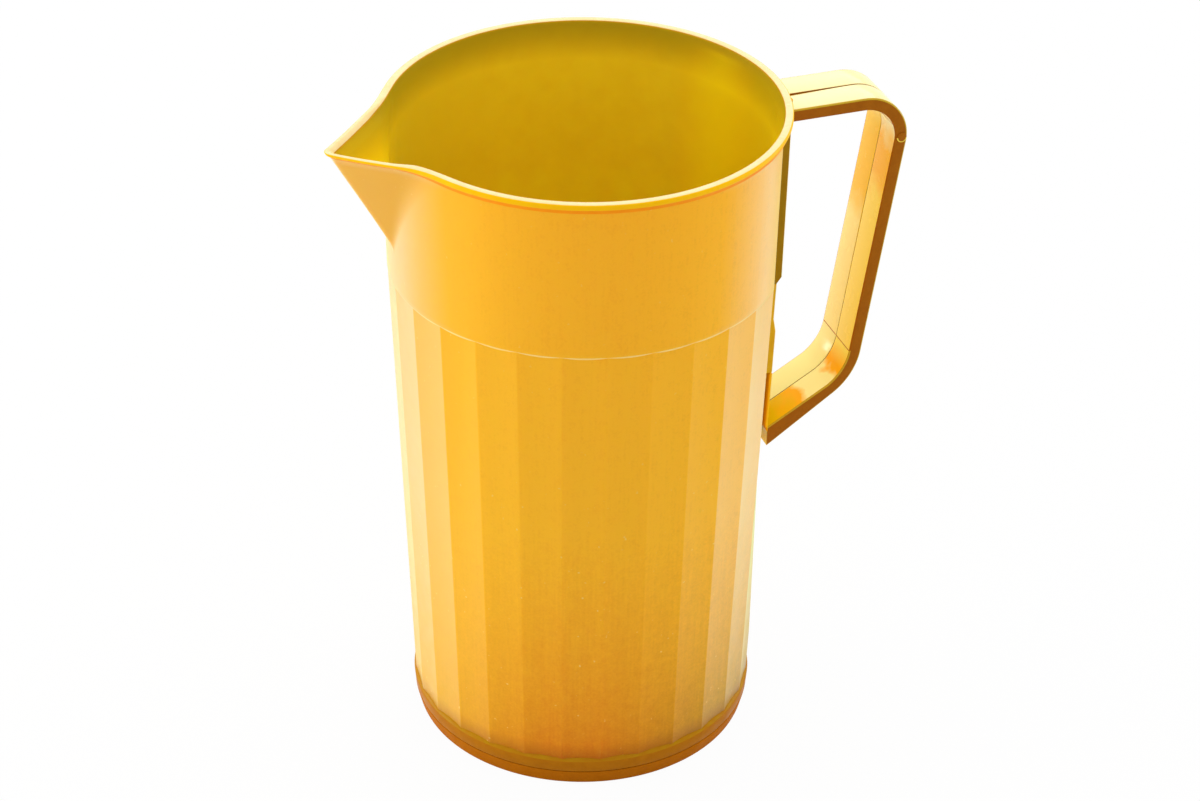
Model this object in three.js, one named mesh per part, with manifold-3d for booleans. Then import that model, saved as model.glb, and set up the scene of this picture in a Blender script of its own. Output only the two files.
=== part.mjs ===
// A moulded plastic jug: a tapered vessel with a plain collar, a pouring spout and a wall of flat facets,
// a foot ring keyed under it, and a flat strap handle in two halves pinned together and to the vessel.
// Millimetres, +Z up, +X towards the handle, the spout at -X. Heights are measured from the table.

import * as THREE from "three";
import { ConvexGeometry } from "three/addons/geometries/ConvexGeometry.js";
import { mergeVertices } from "three/addons/utils/BufferGeometryUtils.js";
import Module from "manifold-3d";

const wasm = await Module();
wasm.setup();

// Vessel: rim, collar and faceted wall
const rimHeight = 200;
const rimRadius = 57.8;
const beadProud = 0.7;
const beadHeight = 1.8;
const beadChamfer = 0.4;
const collarDepth = 47.7;
const stepRadius = 56.4;
const facetCount = 28;
const facetRunOut = 1.2;
const facetFootHeight = 9.3;
const facetFootRadius = 51.2;
const ridgeInset = 0.1;
const wall = 2.1;
const floorThickness = 2.2;
const floorFillet = 5;

// Foot band on the vessel and the foot ring under it
const footBandProud = 0.5;
const jointRadius = 51.4;
const footRadius = 50.4;
const footEdge = 0.6;
const ringHeight = 5;
const ringWidth = 7.5;
const recessDepth = 2;
const tongueInset = 3.4;
const tongueThickness = 2;
const tongueHeight = 1.6;
const landWall = 2;

// Spout: how far its tip stands out from the rim, how deep its nose runs, and the sharpness of its V
const spoutOverhang = 17.4;
const spoutDepth = 35;
const spoutHalfAngle = THREE.MathUtils.degToRad(41.5);
const noseRadius = 3.3;
const noseFootRadius = 1;

// Handle: a strap bent to a D
const handleOverhang = 36.8;
const handleDrop = 6;
const handleHeight = 109.8;
const strapWidth = 20;
const strapThickness = 3.8;
const upperBendRadius = 11.9;
const lowerBendRadius = 18;
const gripLean = THREE.MathUtils.degToRad(8.4);
const lowerArmSlope = THREE.MathUtils.degToRad(34.7);
const rootGusset = 2;
const seamGrooveWidth = 0.8;
const seamGrooveDepth = 1;
const seamGrooveLength = 27;

// Saddle: the rib and pad on the vessel that carry the handle, and the handle's own foot plate
const ribProud = 0.75;
const ribBelowStep = 12.3;
const linkProud = 0.3;
const padProud = 1.2;
const padHeight = 14;
const padRamp = 3.5;
const plateLap = 1.7;
const plateHeight = 20.2;
const scarfSlope = 2.5;

// Pins that locate the handle, and the clearance of every joint
const seamPinRadius = 1.1;
const seamPinLength = 3;
const armPinRadius = 1.1;
const armPinLength = 1.4;
const platePinRadius = 1.6;
const platePinLength = 0.7;
const pinSpacing = 10;
const clearance = 0.3;

// Counts for curved faces
const roundSegments = 3 * facetCount;
const noseSteps = 6;
const bendSegments = 10;
const filletSteps = 5;
const pinSegments = 16;

// Sizes worked out from the driving dimensions
const stepHeight = rimHeight - collarDepth;
const collarTopRadius = rimRadius - beadProud;
const rimInnerRadius = collarTopRadius - wall;
const beadBottom = rimHeight - beadHeight;
const footBandRadius = facetFootRadius + footBandProud;
const ringTop = ringHeight - clearance;
const floorUnderside = ringHeight + recessDepth;
const floorTop = floorUnderside + floorThickness;
const tongueRadius = footRadius - tongueInset;
const tongueOuter = tongueRadius + tongueThickness / 2;
const tongueInner = tongueRadius - tongueThickness / 2;
const tongueTop = ringTop + tongueHeight;
const landInner = tongueInner - clearance - landWall;
const spoutReach = rimRadius + spoutOverhang;
const spoutBottom = rimHeight - spoutDepth;
const handleReach = rimRadius + handleOverhang;
const armHeight = rimHeight - handleDrop - strapThickness / 2;
const lowerArmHeight = rimHeight - handleDrop - handleHeight;
const armHalfHeight = strapThickness / 2 / Math.cos(lowerArmSlope);
const rootTop = lowerArmHeight + armHalfHeight + rootGusset;
const plateBottom = rootTop - plateLap;
const plateTop = plateBottom + plateHeight;
const overrun = 1;

// Outer radius of the collar, and of the ridges between facets, at a height
function collarRadius(z) {
  return stepRadius + (collarTopRadius - stepRadius) * (z - stepHeight) / (beadBottom - stepHeight);
}

function ridgeRadius(z) {
  const ridgeStepRadius = stepRadius - ridgeInset;
  const rise = (z - facetFootHeight) / (stepHeight - facetFootHeight);
  return facetFootRadius + (ridgeStepRadius - facetFootRadius) * rise;
}

// Distance from the axis of the rib's and the pad's outer faces, on the handle's middle plane
function ribFace(z) {
  return collarRadius(z) + ribProud;
}

function padFace(z) {
  return ridgeRadius(z) + padProud;
}

// Solid from a closed geometry, for joining and cutting
function solid(geometry) {
  geometry.deleteAttribute("normal");
  geometry.deleteAttribute("uv");
  const welded = mergeVertices(geometry);
  const corners = welded.index.array;
  const triangles = [];
  for (let i = 0; i < corners.length; i += 3) {
    const [a, b, c] = corners.slice(i, i + 3);
    if (a !== b && b !== c && c !== a) {
      triangles.push(a, b, c);
    }
  }
  const vertProperties = Float32Array.from(welded.attributes.position.array);
  const triVerts = Uint32Array.from(triangles);
  return new wasm.Manifold(new wasm.Mesh({ numProp: 3, vertProperties, triVerts }));
}

// Named mesh from a finished solid
function meshOf(name, body, material) {
  const { vertProperties, triVerts } = body.getMesh();
  const geometry = new THREE.BufferGeometry();
  geometry.setAttribute("position", new THREE.BufferAttribute(vertProperties, 3));
  geometry.setIndex(new THREE.BufferAttribute(triVerts, 1));
  geometry.computeVertexNormals();
  const mesh = new THREE.Mesh(geometry, material);
  mesh.name = name;
  return mesh;
}

// Turned solid round the jug's axis from [radius, height] points, with one side edge on the handle's plane
function turned(profile, segments) {
  const points = profile.map(([radius, height]) => new THREE.Vector2(radius, height));
  const geometry = new THREE.LatheGeometry(points, segments, Math.PI / 2);
  geometry.rotateX(Math.PI / 2);
  return solid(geometry);
}

// Outline in the handle's plane, given as X and Z, extruded in Y from yLow to yHigh
function acrossHandle(shape, yLow, yHigh) {
  const options = { depth: yHigh - yLow, bevelEnabled: false, curveSegments: bendSegments };
  const geometry = new THREE.ExtrudeGeometry(shape, options);
  geometry.rotateX(Math.PI / 2);
  geometry.translate(0, yHigh, 0);
  return solid(geometry);
}

function shapeOf(points) {
  return new THREE.Shape(points.map(([x, z]) => new THREE.Vector2(x, z)));
}

// Round pin along X or Y, from its start face
function pinAlongX(radius, xLow, xHigh, y, z) {
  const geometry = new THREE.CylinderGeometry(radius, radius, xHigh - xLow, pinSegments);
  geometry.rotateZ(Math.PI / 2);
  geometry.translate((xLow + xHigh) / 2, y, z);
  return solid(geometry);
}

function pinAlongY(radius, yLow, yHigh, x, z) {
  const geometry = new THREE.CylinderGeometry(radius, radius, yHigh - yLow, pinSegments);
  geometry.translate(x, (yLow + yHigh) / 2, z);
  return solid(geometry);
}

// Spout: rounded V in plan, whose sides run back to a line inside the vessel
const noseCentre = spoutReach - noseRadius;
const vApex = noseCentre + noseRadius / Math.sin(spoutHalfAngle);
const vOffset = vApex * Math.sin(spoutHalfAngle);
const vMeetsCavity = Math.sqrt(Math.max(0, (rimInnerRadius - wall / 4) ** 2 - vOffset ** 2));
const spoutBack = vApex - (vApex * Math.cos(spoutHalfAngle) - vMeetsCavity) * Math.cos(spoutHalfAngle);

function spoutOutline(centre, radius) {
  const points = [];
  const sweep = Math.PI / 2 - spoutHalfAngle;
  for (let i = 0; i <= noseSteps; i += 1) {
    const angle = sweep * (2 * i / noseSteps - 1);
    points.push([-centre - radius * Math.cos(angle), radius * Math.sin(angle)]);
  }
  const apex = centre + radius / Math.sin(spoutHalfAngle);
  const halfWidth = (apex - spoutBack) * Math.tan(spoutHalfAngle);
  points.push([-spoutBack, halfWidth]);
  points.unshift([-spoutBack, -halfWidth]);
  return points;
}

// Spout body between its foot on the collar and the given height, moved inwards by an inset
function spoutBody(inset, height) {
  const topRadius = noseRadius - beadProud;
  const footCentre = collarRadius(spoutBottom) - noseFootRadius;
  const grow = (height - spoutBottom) / (rimHeight - spoutBottom);
  const centre = footCentre + (noseCentre - footCentre) * grow;
  const radius = noseFootRadius + (topRadius - noseFootRadius) * grow;
  const foot = spoutOutline(footCentre - inset, noseFootRadius);
  const top = spoutOutline(centre - inset, radius);
  const points = [
    ...foot.map(([x, y]) => new THREE.Vector3(x, y, spoutBottom)),
    ...top.map(([x, y]) => new THREE.Vector3(x, y, height)),
  ];
  return solid(new ConvexGeometry(points));
}

// Bead along the spout's edge
function spoutBead() {
  const points = spoutOutline(noseCentre, noseRadius);
  const geometry = new THREE.ExtrudeGeometry(shapeOf(points), { depth: beadHeight, bevelEnabled: false });
  geometry.translate(0, 0, beadBottom);
  return solid(geometry);
}

// Bead round the rim, as a ring that stands proud of the collar
function rimBead() {
  const inner = rimInnerRadius - overrun;
  return turned([
    [inner, beadBottom],
    [rimRadius - beadChamfer, beadBottom],
    [rimRadius, beadBottom + beadChamfer],
    [rimRadius, rimHeight - beadChamfer],
    [rimRadius - beadChamfer, rimHeight],
    [inner, rimHeight],
    [inner, beadBottom],
  ], roundSegments);
}

// Round collar, whose lower edge slopes in so that each facet runs out under it
function collar() {
  return turned([
    [0, stepHeight - facetRunOut],
    [stepRadius - facetRunOut / 2, stepHeight - facetRunOut],
    [stepRadius, stepHeight],
    [collarTopRadius, beadBottom],
    [collarTopRadius, rimHeight],
    [0, rimHeight],
  ], roundSegments);
}

// Wall of flat facets, grown outwards by an allowance
function facetedWall(allowance) {
  const low = (ringHeight + facetFootHeight) / 2;
  return turned([
    [0, low],
    [ridgeRadius(low) + allowance, low],
    [ridgeRadius(stepHeight) + allowance, stepHeight],
    [0, stepHeight],
  ], facetCount);
}

// Plain band under the facets, with the land that the foot ring is keyed to and a recess inside it
function footBand() {
  const band = turned([
    [0, ringHeight],
    [jointRadius, ringHeight],
    [footBandRadius, facetFootHeight - footBandProud],
    [facetFootRadius - footBandProud, facetFootHeight + footBandProud],
    [0, facetFootHeight + footBandProud],
  ], roundSegments);
  const recess = turned([
    [0, ringHeight - overrun],
    [landInner, ringHeight - overrun],
    [landInner, floorUnderside],
    [0, floorUnderside],
  ], roundSegments);
  const grooveTop = tongueTop + clearance;
  const groove = turned([
    [tongueInner - clearance, ringHeight - overrun],
    [tongueOuter + clearance, ringHeight - overrun],
    [tongueOuter + clearance, grooveTop],
    [tongueInner - clearance, grooveTop],
    [tongueInner - clearance, ringHeight - overrun],
  ], roundSegments);
  return band.subtract(recess).subtract(groove);
}

// Inside of the vessel, from the floor to past the rim
function cavity() {
  const floorRadius = ridgeRadius(floorTop) - wall;
  const profile = [[0, floorTop]];
  for (let i = 0; i <= filletSteps; i += 1) {
    const angle = (Math.PI / 2) * (i / filletSteps);
    const radius = floorRadius - floorFillet * (1 - Math.sin(angle));
    profile.push([radius, floorTop + floorFillet * (1 - Math.cos(angle))]);
  }
  profile.push([stepRadius - wall, stepHeight]);
  profile.push([rimInnerRadius, beadBottom]);
  profile.push([rimInnerRadius, rimHeight + overrun]);
  profile.push([0, rimHeight + overrun]);
  return turned(profile, roundSegments);
}

// Rib, link strip and pad up the vessel's back, as wide as the handle
function saddle() {
  const back = facetFootRadius - 2 * wall;
  const ribBottom = stepHeight - ribBelowStep;
  const ribEnd = ribFace(ribBottom) - ridgeRadius(ribBottom) - linkProud;
  const linkTop = ribBottom - scarfSlope * ribEnd;
  const scarfGap = clearance * Math.hypot(1, scarfSlope);
  const padLow = plateTop + scarfGap;
  const padTop = padLow + padHeight;
  const linkLow = padTop + padRamp;
  const scarfDepth = padFace(padLow) - back;
  const shape = shapeOf([
    [back, beadBottom],
    [ribFace(beadBottom), beadBottom],
    [ribFace(ribBottom), ribBottom],
    [ridgeRadius(linkTop) + linkProud, linkTop],
    [ridgeRadius(linkLow) + linkProud, linkLow],
    [padFace(padTop), padTop],
    [padFace(padLow), padLow],
    [back, padLow + scarfSlope * scarfDepth],
  ]);
  return acrossHandle(shape, -strapWidth / 2, strapWidth / 2);
}

// Handle: the strap's bends and the points where its middle line turns
const armRoot = ribFace(armHeight + strapThickness / 2) + clearance;
const upperBend = {
  x: handleReach - upperBendRadius - strapThickness / 2,
  z: armHeight - upperBendRadius,
};
const gripTop = {
  x: upperBend.x + upperBendRadius * Math.cos(gripLean),
  z: upperBend.z - upperBendRadius * Math.sin(gripLean),
};
const lowerRoot = { x: padFace(plateBottom), z: lowerArmHeight };
const armTurn = Math.PI / 2 - gripLean - lowerArmSlope;

function gripFoot() {
  const down = { x: -Math.sin(gripLean), z: -Math.cos(gripLean) };
  const out = { x: Math.cos(lowerArmSlope), z: Math.sin(lowerArmSlope) };
  const apart = { x: lowerRoot.x - gripTop.x, z: lowerRoot.z - gripTop.z };
  const length = (apart.x * out.z - apart.z * out.x) / (down.x * out.z - down.z * out.x);
  const bendStart = length - lowerBendRadius * Math.tan(armTurn / 2);
  return { x: gripTop.x + down.x * bendStart, z: gripTop.z + down.z * bendStart };
}

const gripEnd = gripFoot();
const lowerBend = {
  x: gripEnd.x - lowerBendRadius * Math.cos(gripLean),
  z: gripEnd.z + lowerBendRadius * Math.sin(gripLean),
};
const lowerArmNormal = lowerArmSlope - Math.PI / 2;

function strapShape() {
  const half = strapThickness / 2;
  const back = facetFootRadius - 2 * wall;
  const plateFace = padFace(plateTop);
  const shape = new THREE.Shape();
  shape.moveTo(armRoot, armHeight + half);
  shape.lineTo(upperBend.x, armHeight + half);
  shape.absarc(upperBend.x, upperBend.z, upperBendRadius + half, Math.PI / 2, -gripLean, true);
  shape.absarc(lowerBend.x, lowerBend.z, lowerBendRadius + half, -gripLean, lowerArmNormal, true);
  shape.lineTo(lowerRoot.x, lowerRoot.z - armHalfHeight);
  shape.lineTo(lowerRoot.x, plateBottom);
  shape.lineTo(back, plateBottom + scarfSlope * (lowerRoot.x - back));
  shape.lineTo(back, plateTop + scarfSlope * (plateFace - back));
  shape.lineTo(plateFace, plateTop);
  shape.lineTo(lowerRoot.x, rootTop);
  shape.absarc(lowerBend.x, lowerBend.z, lowerBendRadius - half, lowerArmNormal, -gripLean, false);
  shape.absarc(upperBend.x, upperBend.z, upperBendRadius - half, -gripLean, Math.PI / 2, false);
  shape.lineTo(armRoot, armHeight - half);
  shape.closePath();
  return shape;
}

// Groove along the seam on the upper arm, wide at the root and fading out towards the bend
function seamGroove() {
  const top = armHeight + strapThickness / 2;
  const points = [];
  for (const y of [-seamGrooveWidth, seamGrooveWidth]) {
    points.push(new THREE.Vector3(armRoot - overrun, y, top + overrun));
    points.push(new THREE.Vector3(armRoot - overrun, y, top - seamGrooveDepth));
  }
  points.push(new THREE.Vector3(armRoot + seamGrooveLength, 0, top));
  points.push(new THREE.Vector3(armRoot + seamGrooveLength, 0, top + overrun));
  return solid(new ConvexGeometry(points));
}

// Pins from the upper arm and the foot plate into the vessel, grown by an allowance for their sockets
function vesselPins(side, allowance) {
  const y = side * pinSpacing / 2;
  const plateMiddle = (plateBottom + plateTop) / 2 + padProud;
  const facetDrop = (pinSpacing / 2) * Math.tan(Math.PI / facetCount);
  const wallFace = ridgeRadius(plateMiddle) - facetDrop;
  const armPin = pinAlongX(
    armPinRadius + allowance, armRoot - armPinLength - allowance, armRoot + overrun, y, armHeight);
  const platePin = pinAlongX(
    platePinRadius + allowance, wallFace - platePinLength - allowance, padFace(plateMiddle), y, plateMiddle);
  return armPin.add(platePin);
}

// Places along the strap's middle line where the two halves are pinned together
const seamPinPlaces = [
  { x: (armRoot + upperBend.x) / 2, z: armHeight },
  { x: (gripTop.x + gripEnd.x) / 2, z: (gripTop.z + gripEnd.z) / 2 },
  {
    x: (lowerRoot.x + lowerBend.x) / 2,
    z: lowerRoot.z + Math.tan(lowerArmSlope) * (lowerBend.x - lowerRoot.x) / 2,
  },
];

function seamPins(allowance) {
  const start = -clearance / 2 - overrun;
  const end = clearance / 2 + seamPinLength + allowance;
  const pins = seamPinPlaces.map(({ x, z }) => pinAlongY(seamPinRadius + allowance, start, end, x, z));
  return pins.reduce((joined, pin) => joined.add(pin));
}

// One half of the strap on its side of the seam, -1 for -Y and 1 for +Y, fitted to the faceted wall
function handleHalf(side) {
  const inner = side * clearance / 2;
  const outer = side * strapWidth / 2;
  const strap = acrossHandle(strapShape(), Math.min(inner, outer), Math.max(inner, outer));
  return strap.subtract(seamGroove()).subtract(facetedWall(clearance)).add(vesselPins(side, 0));
}

function jugBody() {
  const spout = spoutBody(0, rimHeight).add(spoutBead());
  const outside = collar().add(facetedWall(0)).add(footBand()).add(rimBead()).add(spout).add(saddle());
  const channel = spoutBody(wall / Math.sin(spoutHalfAngle), rimHeight + overrun);
  const hollow = outside.subtract(cavity()).subtract(channel);
  return hollow.subtract(vesselPins(-1, clearance)).subtract(vesselPins(1, clearance));
}

function footRing() {
  const ringInner = footRadius - ringWidth;
  return turned([
    [ringInner, 0],
    [footRadius - footEdge, 0],
    [footRadius, footEdge],
    [jointRadius, ringTop],
    [tongueOuter, ringTop],
    [tongueOuter, tongueTop],
    [tongueInner, tongueTop],
    [tongueInner, ringTop],
    [ringInner, ringTop],
    [ringInner, 0],
  ], roundSegments);
}

function plastic(colour, roughness) {
  return new THREE.MeshStandardMaterial({ color: colour, roughness, metalness: 0 });
}

const bodyPlastic = plastic("#efa937", 0.38);
const handlePlastic = plastic("#f2b04a", 0.32);
const footPlastic = plastic("#d98f24", 0.4);

const jug = new THREE.Group();
jug.add(meshOf("jug_body", jugBody(), bodyPlastic));
jug.add(meshOf("foot_ring", footRing(), footPlastic));
jug.add(meshOf("handle_left_half", handleHalf(-1).add(seamPins(0)), handlePlastic));
jug.add(meshOf("handle_right_half", handleHalf(1).subtract(seamPins(clearance)), handlePlastic));

// The origin is under the middle of the jug's length, from the spout's tip to the back of the handle
jug.position.x = (spoutReach - handleReach) / 2;

export default jug;
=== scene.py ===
"""Looks of a moulded plastic jug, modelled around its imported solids.

The frame is in metres, +Z up, +X towards the handle, with the spout at -X. Shapes are worked out here in
millimetres from the jug's axis and the table, and scaled when a mesh is made.
"""

import math

import bpy
import numpy as np
from mathutils import Matrix, Vector


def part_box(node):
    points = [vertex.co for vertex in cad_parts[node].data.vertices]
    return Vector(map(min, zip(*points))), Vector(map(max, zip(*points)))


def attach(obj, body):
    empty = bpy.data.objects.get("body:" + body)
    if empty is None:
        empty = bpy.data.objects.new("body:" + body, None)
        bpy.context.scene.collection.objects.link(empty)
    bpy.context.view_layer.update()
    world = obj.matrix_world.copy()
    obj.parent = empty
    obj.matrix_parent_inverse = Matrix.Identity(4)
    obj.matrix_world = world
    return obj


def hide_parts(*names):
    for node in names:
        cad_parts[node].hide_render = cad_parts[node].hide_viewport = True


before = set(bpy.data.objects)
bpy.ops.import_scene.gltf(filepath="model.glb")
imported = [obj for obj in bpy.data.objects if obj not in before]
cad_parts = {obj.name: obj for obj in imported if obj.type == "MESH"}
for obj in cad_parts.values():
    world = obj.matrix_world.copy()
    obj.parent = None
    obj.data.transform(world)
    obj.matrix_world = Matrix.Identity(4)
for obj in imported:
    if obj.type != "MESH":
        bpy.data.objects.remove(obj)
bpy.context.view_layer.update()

MM = 0.001

# Sizes that come from the frame
body_low, body_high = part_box("jug_body")
ring_low, ring_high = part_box("foot_ring")
strap_low, strap_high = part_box("handle_left_half")
AXIS = (ring_low.x + ring_high.x) / 2
RIM_HEIGHT = body_high.z / MM
RIM_RADIUS = body_high.y / MM
SPOUT_REACH = (AXIS - body_low.x) / MM
HANDLE_REACH = (strap_high.x - AXIS) / MM
STRAP_HALF_WIDTH = -strap_low.y / MM
STRAP_TOP = strap_high.z / MM
JOINT_RADIUS = (ring_high.x - ring_low.x) / 2 / MM
JOINT_HEIGHT = body_low.z / MM

# Vessel
BEAD_PROUD = 0.7
BEAD_HEIGHT = 1.8
BEAD_FOOT = 1.0
STEP_HEIGHT = 152.3
STEP_RADIUS = 56.4
STEP_CHAMFER = 1.5
STEP_EDGE = 0.04
FACETS = 28
FACET_FOOT_HEIGHT = 9.3
FACET_FOOT_RADIUS = 51.2
RIDGE_INSET = 0.1
FLUTE_DEPTH = 0.1
WALL = 2.1
WALL_EDGE = 0.15
LIP_TAPER_END = 196.6
FLOOR_TOP = 9.2
FLOOR_UNDERSIDE = 7.0
FLOOR_FILLET = 5.0
BAND_PROUD = 0.5
BAND_DRAFT = 0.02
BAND_EDGE = 0.2
GROOVE = (45.7, 48.3)
GROOVE_TOP = 6.6
LAND_INNER = 43.7
JOINT_EDGE = 0.25

# Share of an edge's size that the middle of its rounding lies in from the corner
CORNER_SHARE = 0.3

# Spout
SPOUT_DEPTH = 35.0
SPOUT_HALF_ANGLE = math.radians(44.5)
SPOUT_SECTOR = math.radians(45)
NOSE_RADIUS = 2.6
NOSE_FOOT_RADIUS = 1.0
NOSE_LEAST = 0.2
NOSE_DROOP = 2.0
CHANNEL_RADIUS = 1.2
CHANNEL_RUN_OUT = 4.0
BLEND_AT_RIM = 3.0
BLEND_AT_FOOT = 0.8
SPOUT_THINNING = 0.35
SPOUT_BLEND = 5.0

# Foot ring
FOOT_RADIUS = 50.4
FOOT_EDGE = 0.6
FOOT_SEGMENTS = 8 * FACETS
RING_INNER = 42.9
RING_TOP = 4.7
RING_DRAFT = 0.05
TONGUE = (46.0, 48.0)
TONGUE_TOP = 6.3

# Saddle on the vessel's back, that carries the handle
RIB_PROUD = 1.35
RIB_BOTTOM = 140.0
LINK_PROUD = 0.3
LINK_TOP = 138.0
LINK_LOW = 126.1
PAD_PROUD = 1.2
PAD_TOP = 121.8
PAD_LOW = 107.8
PAD_LIP = 0.5
SCARF_SLOPE = 2.5
SCARF_DEPTH = 0.6

# Flat cheeks of the wall, either side of the saddle
CHEEK_FACETS = 3
CHEEK_DROP = 0.6
CHEEK_BOTTOM = 87.0
CHEEK_FOOT = 24.0
CHEEK_INSIDE = 1.3
CHEEK_TAPER = 14.0

# Handle
STRAP_THICKNESS = 3.8
UPPER_BEND = 11.9
LOWER_BEND = 18.0
GRIP_LEAN = math.radians(8.4)
LOWER_SLOPE = math.radians(34.7)
LOWER_ARM_HEIGHT = 84.2
ROOT_GUSSET = 2.0
ROOT_STEP = 0.02
PLATE_BOTTOM = 86.8
PLATE_TOP = 107.0
PLATE_STEP = 0.4
PLATE_HEEL = 2.3
PLATE_ROWS = (91.0, 98.0)
PLATE_SCARF = 2.2
CLEARANCE = 0.3
SEAM_GAP = 0.15
SEAM_EDGE = 0.12
STRAP_EDGE = 0.45
LARGEST_EDGE_SHARE = 1 / 2.2
GROOVE_EDGE = 1.5
GROOVE_LENGTH = 27.0
GROOVE_LEAST = 0.45
MARK_WIDTH = 0.3
UPPER_MARK = math.radians(25)
STUD = (92.8, 179.9)
STUD_RADIUS = 1.5
STUD_PROUD = 0.4
STUD_SIDE = 0.28
STUD_BEVEL = 0.3
STUD_SET_IN = 0.5
STUD_SEGMENTS = 24

COLLAR_TOP_RADIUS = RIM_RADIUS - BEAD_PROUD
BEAD_BOTTOM = RIM_HEIGHT - BEAD_HEIGHT
FACET_HALF_ANGLE = math.pi / FACETS
SPOUT_BOTTOM = RIM_HEIGHT - SPOUT_DEPTH
CHEEK_CORNER = 2 * FACET_HALF_ANGLE * CHEEK_FACETS
CHEEK_INSIDE_END = 1.25 * CHEEK_CORNER
CHEEK_INSIDE_RUN = 0.7 * CHEEK_CORNER
SHARP_ANGLE = math.radians(38)


def collar_radius(z):
    rise = (z - STEP_HEIGHT) / (BEAD_BOTTOM - STEP_HEIGHT)
    return STEP_RADIUS + (COLLAR_TOP_RADIUS - STEP_RADIUS) * rise


def ridge_radius(z):
    rise = (z - FACET_FOOT_HEIGHT) / (STEP_HEIGHT - FACET_FOOT_HEIGHT)
    return FACET_FOOT_RADIUS + (STEP_RADIUS - RIDGE_INSET - FACET_FOOT_RADIUS) * rise


def inner_radius(z):
    """Radius of the cavity, above its floor fillet."""
    low = ridge_radius(FLOOR_TOP) - WALL
    rise = (z - FLOOR_TOP) / (STEP_HEIGHT - FLOOR_TOP)
    lower = low + (STEP_RADIUS - WALL - low) * rise
    return float(np.where(z > STEP_HEIGHT, collar_radius(z) - WALL, lower))


def rib_face(z):
    """Distance of the rib's face from the axis."""
    return collar_radius(z) + RIB_PROUD


def smooth_max(a, b, reach):
    share = np.clip(1 - np.abs(a - b) / reach, 0, 1)
    return np.maximum(a, b) + share**2 * reach / 4


# Columns of the vessel's mesh: rays round the axis, and at the back lines of equal offset from the
# handle's plane
RIDGE_ROUND = math.radians(0.2)
PLAIN_COLUMNS = 7
SPOUT_COLUMNS = 26
SPOUT_FACETS = 3
NOSE_CROWDING = 1.6
SADDLE_OFFSETS = (0.0, 2.5, 5.0, 7.4, 9.3, 9.75, 10.0)
SADDLE_EDGE_DROP = {9.75: 0.06, 10.0: 0.3}
WALL_OFFSETS = (10.1, 10.6)
ANGLE_TOLERANCE = 1e-9

# Rows of the vessel's mesh that lie between its edges
INNERMOST_ROW = 11.0
UNDERSIDE_ROW = 0.6 * LAND_INNER
FLOOR_ROW = 30.0
FIRST_WALL_ROW = 16.0
CHEEK_ROWS = 7
ROWS_TO_PAD = 3
ROW_BELOW_PAD = 1.0
RIB_ROW = 146.0
RIB_ROWS_BELOW_STEP = (0.9, 0.6)
ROW_ABOVE_STEP = 0.2
COLLAR_ROWS = (154.0, 156.0, 158.0, 160.0)
SPOUT_ROWS_FROM = 161.0
SPOUT_ROW_STEP = 1.0
CHANNEL_ROWS_TO = 160.0
CHANNEL_ROW_STEP = 1.2
CAVITY_ROWS_FROM = 158.0
CAVITY_ROWS = 24
FILLET_ROWS = 8


def column_angles():
    """Angles of the rays from the first ridge beside the handle round past the spout to the last one."""
    angles = []
    for facet in range(1, FACETS - 1):
        start = 2 * FACET_HALF_ANGLE * facet
        end = start + 2 * FACET_HALF_ANGLE
        from_spout = min(abs(facet - FACETS // 2), abs(facet + 1 - FACETS // 2))
        angles += [start, start + RIDGE_ROUND]
        if from_spout > 0:
            columns = PLAIN_COLUMNS if from_spout >= SPOUT_FACETS else SPOUT_COLUMNS
            angles += list(np.linspace(start + RIDGE_ROUND, end - RIDGE_ROUND, columns)[1:-1])
        else:
            spread = np.linspace(0, 1, SPOUT_COLUMNS + 1)[1:-1] ** NOSE_CROWDING
            near = (end - start) * spread
            inside = start + near if facet >= FACETS // 2 else np.flip(end - near)
            angles += [a for a in inside if start + RIDGE_ROUND < a < end - RIDGE_ROUND]
        angles.append(end - RIDGE_ROUND)
    angles.append(2 * math.pi - 2 * FACET_HALF_ANGLE)
    return np.array(angles)


rays = column_angles()
near_offsets = np.array(SADDLE_OFFSETS + WALL_OFFSETS)
back_offsets = np.concatenate([-near_offsets[::-1], near_offsets[1:]])
back_count = len(back_offsets)
column_count = back_count + len(rays)
on_saddle = np.abs(back_offsets) <= SADDLE_OFFSETS[-1]
edge_drop = np.array([SADDLE_EDGE_DROP.get(abs(float(y)), 0.0) for y in back_offsets])
facet_middle = (np.floor(rays / (2 * FACET_HALF_ANGLE) + ANGLE_TOLERANCE) * 2 + 1) * FACET_HALF_ANGLE
from_nose = np.abs(rays - math.pi)
from_back = np.abs(np.mod(rays + math.pi, 2 * math.pi) - math.pi)


def per_column(value):
    """Value in each column of a row, given one for each or one for all."""
    return np.broadcast_to(np.asarray(value, float), column_count)


def ring_row(radius, height):
    """Row of points, the back lines first and then the rays, at a radius and height for each or for all."""
    radius = per_column(radius)
    back = radius[:back_count]
    round_part = radius[back_count:]
    x = np.concatenate([np.sqrt(back**2 - back_offsets**2), round_part * np.cos(rays)])
    y = np.concatenate([back_offsets, round_part * np.sin(rays)])
    return np.stack([x, y, per_column(height)], axis=1)


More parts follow.
